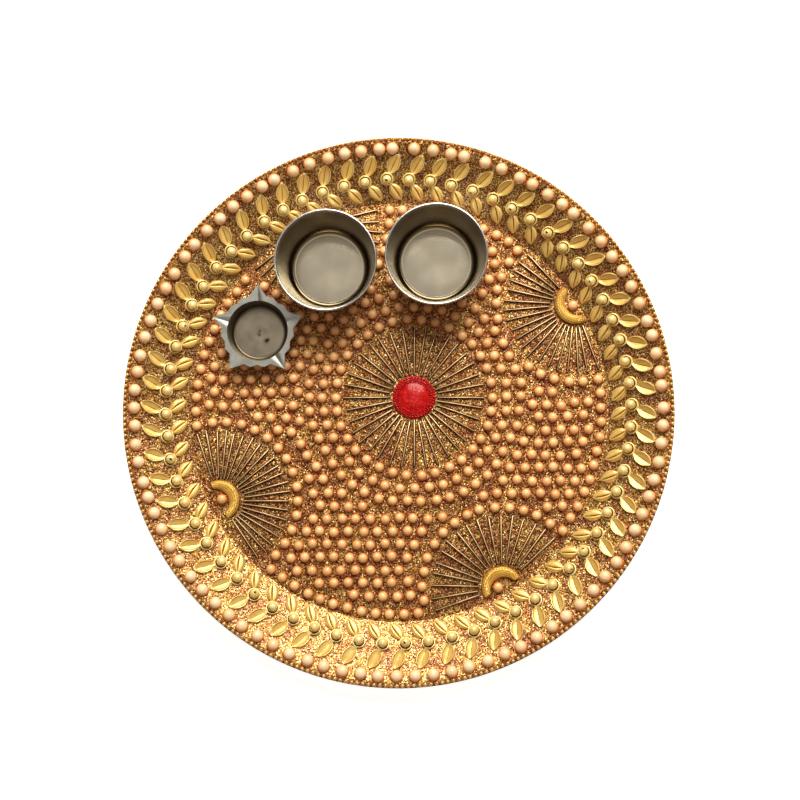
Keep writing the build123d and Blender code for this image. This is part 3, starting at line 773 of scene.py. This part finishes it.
# half moon about its hub: between a circle and an off-centre inner circle, the section is a low arch with
# fine ribs across it and lines along it; with it the painted shade, deepest where ribs and lines dip, at the
# edges and underneath
def moonShape():
    radius, endWidth, endHeight = moon["radius"], moon["endWidth"], moon["endHeight"]
    deep, wide = radius - moon["width"], radius - moon["horn"]
    inner = (wide ** 2 / deep + deep) / 2
    offset = inner - deep
    along = np.linspace(-1, 1, moon["stations"])[:, None]
    over = np.cos(np.linspace(0, np.pi, moon["columns"]))[None]
    bearing = np.pi + along * moon["reach"]
    inside = offset * np.cos(bearing) + np.sqrt(inner ** 2 - (offset * np.sin(bearing)) ** 2)
    blunt = np.clip((1 - np.abs(along)) / moon["blunt"], 0, 1) ** 0.5
    middle = (radius + inside) / 2
    half = (radius - inside) / 2 * (endWidth + (1 - endWidth) * blunt)
    arch = np.sqrt(np.clip(1 - np.abs(over) ** moon["arch"], 0, 1)) * moon["height"]
    arch = arch * (endHeight + (1 - endHeight) * blunt)
    ribs = moon["rib"] * np.cos(2 * np.pi * moon["ribs"] * along)
    ribs = ribs * np.clip(moon["ribEven"] + (1 - moon["ribEven"]) * over, 0, 1)
    lines = moon["line"] * np.cos(moon["lineWaves"] * np.pi * over)
    height = arch * (1 + (ribs + lines) / moon["relief"] * (1 - over ** moon["edgeCalm"]))
    flat = np.zeros((len(along), len(underside)))
    across = np.concatenate([over, underside[None]], axis=1)
    height = np.concatenate([np.maximum(height, 0), flat], axis=1)
    reach = middle + half * across
    points = polar(reach, bearing, height)
    dip = -moon["ribShade"] * ribs / moon["rib"] - moon["lineShade"] * lines / moon["line"]
    edge = np.abs(over) ** moon["edgeShade"] + 0 * along
    shadeAndStain = np.concatenate([np.maximum(np.clip(dip, 0, 1), edge), flat + 1], axis=1)
    return (points.reshape(-1, 3), gridFaces(len(along), across.shape[1])), shadeAndStain.reshape(-1)


# each half moon stands on the floor at its fan's hub and opens towards the wall
def makeMoons():
    finish = goldFinish("moonGold", moonGold)
    shape, shadeAndStain = moonShape()
    for fan in ("right", "back", "left", "front"):
        bearing, inset = moon[fan]
        turn, reach = math.radians(bearing), tray["floorRadius"] - inset
        placed = stoodAt(shape, polar(reach, turn, tray["floorTop"]), turn)
        newPiece(fan + "Moon", placed, finish, "tray", [fan + "_fan_crescent"],
                 {"shadeAndStain": shadeAndStain}, sharp=60)


makeMoons()
print("half moons done")

# red stone in the middle, with a border of small dots in rows of (reach, width, lift)
stone = {"radius": 12.0, "base": 1.0, "dome": 9.6, "rise": 2.4, "foot": 0.15, "ease": 0.2, "seam": 0.05,
         "capRows": 22, "columns": 96, "rows": [(11.15, 1.5, 0.0), (9.85, 1.25, 0.45), (8.8, 0.9, 1.0)],
         "dotPitch": 1.1, "dotRows": 7, "dotColumns": 9}
redResin = {"foil": 1250.0, "craze": {"Scale": 260.0, "Detail": 3.0}, "bump": (0.8, 0.0008),
            "shine": {"Roughness": 0.3, "Specular IOR Level": 0.15, "Coat Weight": 0.3,
                      "Coat Roughness": 0.05},
            "stops": [(0.0, (0.38, 0.003, 0.003)), (0.7, (0.56, 0.006, 0.006)), (1.0, (0.74, 0.03, 0.025))]}


# dome: a disc with a low cap of a ball on it, and rows of dots round its edge
def stoneShape():
    radius, base, dome, rise, ease = (stone[key] for key in ("radius", "base", "dome", "rise", "ease"))
    ball = (dome ** 2 + rise ** 2) / (2 * rise)
    spread = np.linspace(dome, 0, stone["capRows"])
    cap = base + rise - ball + np.sqrt(ball ** 2 - spread ** 2)
    edge = [(0, 0), (radius - stone["foot"], 0), (radius, ease), (radius, base - ease), (radius - ease, base),
            (dome + stone["seam"], base)]
    shapes = [turned(np.concatenate([edge, np.stack([spread, cap], axis=-1)]), stone["columns"])]
    arc = np.linspace(-np.pi / 2, np.pi / 2, stone["dotRows"])
    for reach, width, lift in stone["rows"]:
        count = int(2 * np.pi * reach / (width * stone["dotPitch"]))
        angle = 2 * np.pi * np.arange(count) / count
        dot = turned(np.stack([np.cos(arc), np.sin(arc)], axis=-1) * width / 2, stone["dotColumns"])
        shapes.append(setDown(dot, polar(reach, angle, base + lift), floorFrames(angle)))
    return joined(*shapes)


# red resin: deep red with foil sparkles under a clear coat that is finely crazed
def stoneFinish():
    finish, tree, shader = newFinish("redStone")
    place = addPlace(tree)
    sparkle = addCells(tree, place, redResin["foil"])[1]["Red"]
    worn = addBump(tree, addNoise(tree, place, **redResin["craze"]), *redResin["bump"])
    body = addRamp(tree, redResin["stops"], sparkle)
    setInputs(shader, {**redResin["shine"], "Base Color": body, "Normal": worn, "Coat Normal": worn})
    return finish


# stone stands on the floor under the middle of its solid
def makeStone():
    middle = middlesOf("centre_stone")[0] * (1, 1, 0) + (0, 0, tray["floorTop"])
    newPiece("redStone", stoodAt(stoneShape(), middle), stoneFinish(), "tray", ["centre_stone"],
             sharp=50)


makeStone()
print("stone done")

# steel bowls with a rolled rim and a faint ring pressed into the floor
bowl = {"radius": 28.2, "base": 22.2, "height": 27.0, "corner": 3.0, "setback": 0.85, "bead": 0.65,
        "sheet": 0.7, "columns": 160, "outerSteps": 10, "innerSteps": 12, "wallRows": 12, "rollRows": 18,
        "rollPast": 0.9, "ring": 19.2, "ringHalf": 0.2, "ringDepth": 0.05, "floorReaches": [12.0, 5.0, 0],
        "floorTone": 0.2, "footShade": 1.05, "shadeFall": 0.6}
# the shade stops paint the floor beige and a little darker and the inner wall darker towards its foot, as
# painted shade and reflection
bowlSteel = {"lines": 700.0, "smudges": 60.0, "bump": 0.05, "gloss": (0.17, 0.27),
             "shadesAndStains": [(0.0, (1.0, 1.0, 1.0)), (0.2, (0.69, 0.62, 0.48)), (0.45, (0.60, 0.55, 0.43)),
                       (0.75, (0.72, 0.61, 0.43)), (1.0, (0.22, 0.17, 0.10))],
             "stops": [(0.3, (0.57, 0.56, 0.54)), (0.7, (0.67, 0.66, 0.64))]}


# bowl's section: out along the bottom, up the outside, round the rolled rim, down the inside and in along the
# floor; with it the painted shade, deepest at the foot of the inner wall, lighter up it and light on the
# floor
def bowlLine():
    curl, sheet, rim, base = bowl["bead"], bowl["sheet"], bowl["radius"] - bowl["bead"], bowl["base"]
    top = bowl["height"] - curl
    lean = (rim + sheet / 2 - base) / top
    outerCorners = [(0, 0), (base, 0), (rim + sheet / 2, top - curl)]
    outer = roundedLine(outerCorners, [bowl["corner"] * bowl["setback"]], bowl["outerSteps"])
    roll = np.linspace(-bowl["rollPast"], math.pi + bowl["rollPast"], bowl["rollRows"])
    rolled = np.stack([rim + curl * np.cos(roll), top + curl * np.sin(roll)], axis=-1)
    inner = base + lean * sheet - sheet * math.hypot(1, lean)
    innerCorners = [(rim - sheet / 2, top - curl), (inner, sheet), (0, sheet)]
    innerSetback = (bowl["corner"] - sheet) * bowl["setback"]
    floor = roundedLine(innerCorners, [innerSetback], bowl["innerSteps"])[:-1]
    wall = floor[0] + (floor[1] - floor[0]) * np.linspace(0, 1, bowl["wallRows"])[1:-1, None]
    ring, half = bowl["ring"], bowl["ringHalf"]
    flat = [(ring + half, sheet), (ring, sheet - bowl["ringDepth"]), (ring - half, sheet)]
    flat += [(reach, sheet) for reach in bowl["floorReaches"]]
    line = np.concatenate([outer, rolled, floor[:1], wall, floor[1:], flat])
    inside = slice(len(outer) + len(rolled), -len(flat))
    shadeAndStain = np.zeros(len(line))
    shadeAndStain[-len(flat):] = bowl["floorTone"]
    shadeAndStain[inside] = np.clip(bowl["footShade"] - bowl["shadeFall"] * (line[inside, 1] - sheet) / top, 0, 1)
    return line, shadeAndStain


# each bowl stands on the middle of its box's underside
def makeBowls():
    line, shadeAndStain = bowlLine()
    for side in ("left", "right"):
        low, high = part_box(side + "_bowl")
        middle = np.array([(low.x + high.x) / 2, (low.y + high.y) / 2, low.z]) / mm
        shape = stoodAt(turned(line, bowl["columns"]), middle)
        finish = steelFinish(side + "BowlSteel", bowlSteel, middle)
        newPiece(side + "Bowl", shape, finish, side + "_bowl", [side + "_bowl"],
                 {"shadeAndStain": np.repeat(shadeAndStain, bowl["columns"])}, sharp=45)


makeBowls()
print("bowls done")

# star lamp: a small cup with a pressed brim of five grooved tips; the outline gives (share of a tip's sector,
# reach) and the marks on the floor (x, y, spread)
lamp = {"tips": 5, "turn": math.pi / 2, "cup": 17.0, "base": 15.6, "height": 9.6, "sheet": 0.7, "tip": 26.2,
        "outline": [(0.0, 26.2), (0.2, 19.9), (0.35, 20.6), (0.5, 19.0), (0.65, 20.6), (0.8, 19.9),
                    (1.0, 26.2)],
        "columns": 300, "brimRows": 14, "floorRows": 24, "bendSteps": 7, "innerBend": 1.2, "outerBend": 2.6,
        "groove": 8.2, "depth": 0.75, "grooveStart": 13.6, "point": 0.08, "grooveCurve": 1.4,
        "ring": 0.03, "ringPitch": 4.5, "ringFade": 6.0, "floorTone": 0.5, "markTone": 0.5, "wallShade": 0.8,
        "marks": [(0.1, 1.2, 0.8), (-0.2, -0.9, 0.9), (3.6, -4.6, 1.4), (4.8, -3.8, 1.0)]}
lamp["sector"] = 2 * np.pi / lamp["tips"]
# the shade stops paint shade on the cup's inner wall and darken its floor and the stains on it
lampSteel = {"lines": 1100.0, "smudges": 120.0, "bump": 0.08, "gloss": (0.34, 0.46),
             "shadesAndStains": [(0.0, (1.0, 1.0, 1.0)), (0.5, (0.70, 0.60, 0.49)), (0.8, (0.43, 0.34, 0.25)),
                       (1.0, (0.08, 0.07, 0.05))],
             "stops": [(0.3, (0.27, 0.268, 0.24)), (0.7, (0.37, 0.366, 0.33))]}


# brim's reach at an angle: where the ray meets the straight edge between two corners of the star
def brimReach(angle):
    sector = lamp["sector"]
    share = ((angle - lamp["turn"]) / sector) % 1.0
    corners = np.array(lamp["outline"])
    k = np.clip(np.searchsorted(corners[:, 0], share, side="right") - 1, 0, len(corners) - 2)
    first, second = (share - corners[k, 0]) * sector, (corners[k + 1, 0] - share) * sector
    near, far = corners[k, 1], corners[k + 1, 1]
    return near * far * np.sin(first + second) / (near * np.sin(first) + far * np.sin(second))


# dip of the wick grooves: a soft V that is widest at the cup and dies out at the tip
def grooveDip(reach, angle):
    sector = lamp["sector"]
    off = (angle - lamp["turn"] + sector / 2) % sector - sector / 2
    share = np.clip((lamp["tip"] - reach) / (lamp["tip"] - lamp["grooveStart"]), 0, 1)
    scale = lamp["point"] + (1 - lamp["point"]) * share
    across = np.abs(reach * np.sin(off))
    hollow = np.clip(1 - across / (lamp["groove"] / 2 * scale), 0, 1)
    return lamp["depth"] * scale * hollow ** lamp["grooveCurve"]


# lamp: floor from the middle, up the inside of the cup, out over the brim, round its edge and back
# underneath; with it the painted shade on the cup's inner wall, and the stains where the floor is marked,
# over a floor that is a little darker and warmer
def lampShape():
    angle = (lamp["turn"] + fullTurn(lamp["columns"]))[None]
    sheet, top, cupRadius, base = (lamp[key] for key in ("sheet", "height", "cup", "base"))
    steps = lamp["bendSteps"]
    edge = brimReach(angle)
    share = np.linspace(0, 1, lamp["brimRows"])[:, None]
    brim = cupRadius + (edge - cupRadius) * share
    brimTop = top - grooveDip(brim, angle)
    inside = roundedLine([(0, sheet), (base - sheet, sheet), (cupRadius, top)], [lamp["innerBend"]], steps)
    floorReach = inside[1, 0] * np.linspace(0, 1, lamp["floorRows"])[1:-1]
    wave = np.cos(floorReach * 2 * np.pi / lamp["ringPitch"]) * np.exp(-floorReach / lamp["ringFade"])
    floor = np.stack([floorReach, sheet + lamp["ring"] * wave], axis=-1)
    inside = np.concatenate([[(0, sheet + lamp["ring"])], floor, inside[1:-1]])
    outside = roundedLine([(cupRadius + sheet, top - sheet), (base, 0), (0, 0)], [lamp["outerBend"]], steps)
    full = 0 * angle
    rise = np.clip((inside[:, 1:] - sheet) / (top - sheet), 0, 1)
    insideHeight = inside[:, 1:] + full - rise * (top - brimTop[:1])
    underRim = np.maximum(brim, cupRadius + sheet)[::-1]
    underHeight = (top - grooveDip(underRim, angle)) - sheet
    drop = np.clip(outside[:, 1:] / (top - sheet), 0, 1)
    outsideHeight = outside[:, 1:] + full - drop * (top - sheet - underHeight[-1:])
    reach = np.concatenate([inside[:, :1] + full, brim, underRim, outside[1:, :1] + full])
    height = np.concatenate([insideHeight, brimTop, underHeight, outsideHeight[1:]])
    points = polar(reach, angle, height)
    shadeAndStain = np.zeros(reach.shape)
    shadeAndStain[:len(floor) + 1] = lamp["floorTone"]
    for x, y, spread in lamp["marks"]:
        far = np.hypot(points[:len(floor), :, 0] - x, points[:len(floor), :, 1] - y)
        shadeAndStain[:len(floor)] += lamp["markTone"] * softLine(far, 0, spread)
    shadeAndStain[len(floor) + 1:len(inside)] = lamp["wallShade"]
    return (points.reshape(-1, 3), gridFaces(len(reach), lamp["columns"])[:, ::-1]), shadeAndStain.reshape(-1)


# lamp's middle lies a tip's reach in from the back of its box, and halfway across it
def makeLamp():
    low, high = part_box("star_diya")
    middle = np.array([(low.x + high.x) / 2, high.y - lamp["tip"] * mm, low.z]) / mm
    shape, shadeAndStain = lampShape()
    finish = steelFinish("lampSteel", lampSteel, middle)
    newPiece("starLamp", stoodAt(shape, middle), finish, "star_diya", ["star_diya"],
             {"shadeAndStain": shadeAndStain}, sharp=35)


makeLamp()
print("star lamp done")

# ground, lights as (power, size, place, tint) and camera; ground and lights in metres, camera in millimetres
studio = {"ground": 0.86, "groundRough": 0.9, "glow": 0.75, "groundReach": 6, "groundPoints": 25,
          "groundDrop": 0.0002, "world": 0.17, "worldTint": (1.0, 0.74, 0.54, 1.0),
          "key": (22.0, 0.8, (0.14, 0.85, 0.82), (1.0, 0.99, 0.9)),
          "top": (3.0, 1.2, (0.0, 0.05, 1.6), (1.0, 1.0, 1.0)),
          "back": (2.6, 1.1, (0.0, 1.25, 0.36), (1.0, 1.0, 1.0))}
camera = {"from": (20.67, -49.8, 680.0), "at": (1.23, 5.61, 0.0), "lens": 54.43, "sensor": 36.0, "near": 10.0}


# ground: a flat grid just under the tray, which glows only where it is looked at, mirrored or seen through
def makeGround():
    finish, tree, shader = newFinish("paleGround")
    rays = addNode(tree, "LightPath").outputs
    shown = rays["Is Camera Ray"]
    for ray in ("Is Glossy Ray", "Is Transmission Ray"):
        either = addNode(tree, "Math", {0: shown, 1: rays[ray]}, operation="MAXIMUM")
        shown = either.outputs["Value"]
    setInputs(shader, {
        "Roughness": studio["groundRough"], "Specular IOR Level": 0.0,
        "Base Color": (studio["ground"],) * 3 + (1.0,), "Emission Color": (1, 1, 1, 1),
        "Emission Strength": addRange(tree, shown, 0.0, studio["glow"])})
    count = studio["groundPoints"]
    span = np.linspace(-studio["groundReach"], studio["groundReach"], count)
    x, y = np.meshgrid(span, span, indexing="xy")
    mesh = bpy.data.meshes.new("ground")
    points = np.stack([x, y, 0 * x - studio["groundDrop"]], axis=-1).reshape(-1, 3)
    mesh.from_pydata(points.tolist(), [], gridFaces(count, count, loopColumns=False).tolist())
    mesh.materials.append(finish)
    ground = bpy.data.objects.new("ground", mesh)
    scene.collection.objects.link(ground)


# square light that faces the origin: its third axis points from the origin to its place
def addLight(name, power, size, place, tint):
    light = bpy.data.lights.new(name, "AREA")
    light.energy = power
    light.color = tint
    light.size = size
    holder = bpy.data.objects.new(name, light)
    holder.location = place
    holder.rotation_euler = Vector(place).to_track_quat("Z", "Y").to_euler()
    scene.collection.objects.link(holder)


# camera's axes: right is square to the look and to the tray's back, and up is square to both
def makeStudio():
    makeGround()
    for name in ("key", "top", "back"):
        addLight(name + "Lamp", *studio[name])
    world = bpy.data.worlds.new("studio")
    world.use_nodes = True
    background = world.node_tree.nodes["Background"]
    background.inputs["Color"].default_value = studio["worldTint"]
    background.inputs["Strength"].default_value = studio["world"]
    scene.world = world
    scene.view_settings.view_transform = "Standard"
    lens = bpy.data.cameras.new("camera")
    lens.lens = camera["lens"]
    lens.sensor_width = camera["sensor"]
    lens.clip_start = camera["near"] * mm
    viewer = bpy.data.objects.new("camera", lens)
    place, aim = Vector(camera["from"]) * mm, Vector(camera["at"]) * mm
    look = (aim - place).normalized()
    right = look.cross(Vector((0, 1, 0))).normalized()
    up = right.cross(look)
    turn = Matrix((right, up, -look)).transposed().to_4x4()
    viewer.matrix_world = Matrix.Translation(place) @ turn
    scene.collection.objects.link(viewer)
    scene.camera = viewer


makeStudio()
print("studio done")
